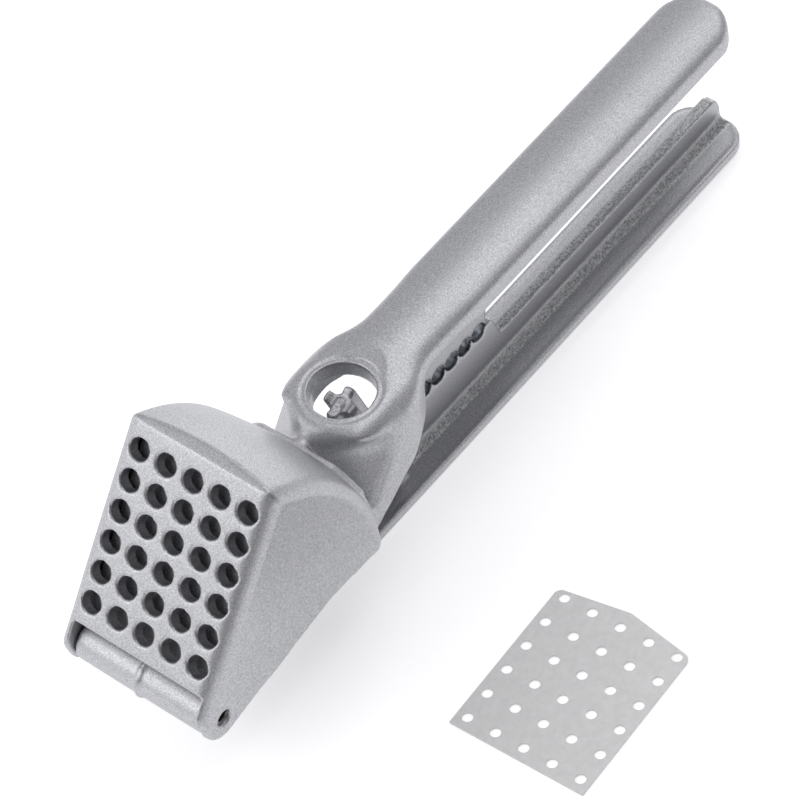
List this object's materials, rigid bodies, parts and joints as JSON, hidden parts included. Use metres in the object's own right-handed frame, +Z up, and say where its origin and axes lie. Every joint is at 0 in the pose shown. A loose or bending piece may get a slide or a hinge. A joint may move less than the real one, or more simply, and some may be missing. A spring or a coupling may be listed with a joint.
{
  "type": "garlic press",
  "caption": "Two-lever garlic press with a perforated wedge chamber, swinging plunger, stone-pitting ring, nut-cracking jaws and a loose sieve plate.",
  "frame": {"origin": "on the table face of the lower lever, on the middle plane, 80 mm along the handles from the hinge axis", "axes": "+X along the handles away from the hinge, +Z up out of the upper handle, hinge axis along Y"},
  "size_m": [0.1727, 0.0867, 0.0552],
  "materials": {
    "cast_aluminium": "blasted silver coating with a fine sparkle",
    "pin_steel": "plain rolled spring steel",
    "stainless_sheet": "satin stainless sheet"
  },
  "bodies": {
    "lower": {"lower_lever": "cast_aluminium"},
    "upper": {"upper_lever": "cast_aluminium", "hinge_pin": "pin_steel"},
    "plate": {"sieve_plate": "stainless_sheet"}
  },
  "joints": [
    {"name": "lever_hinge", "type": "hinge", "parent": "lower", "child": "upper", "pos_m": [-0.08, 0, 0.015], "axis": [0, -1, 0], "range_deg": [0, 120]},
    {"name": "plate_lift", "type": "slide", "parent": "lower", "child": "plate", "axis": [0, 0, 1], "range_m": [0, 0.05]}
  ]
}
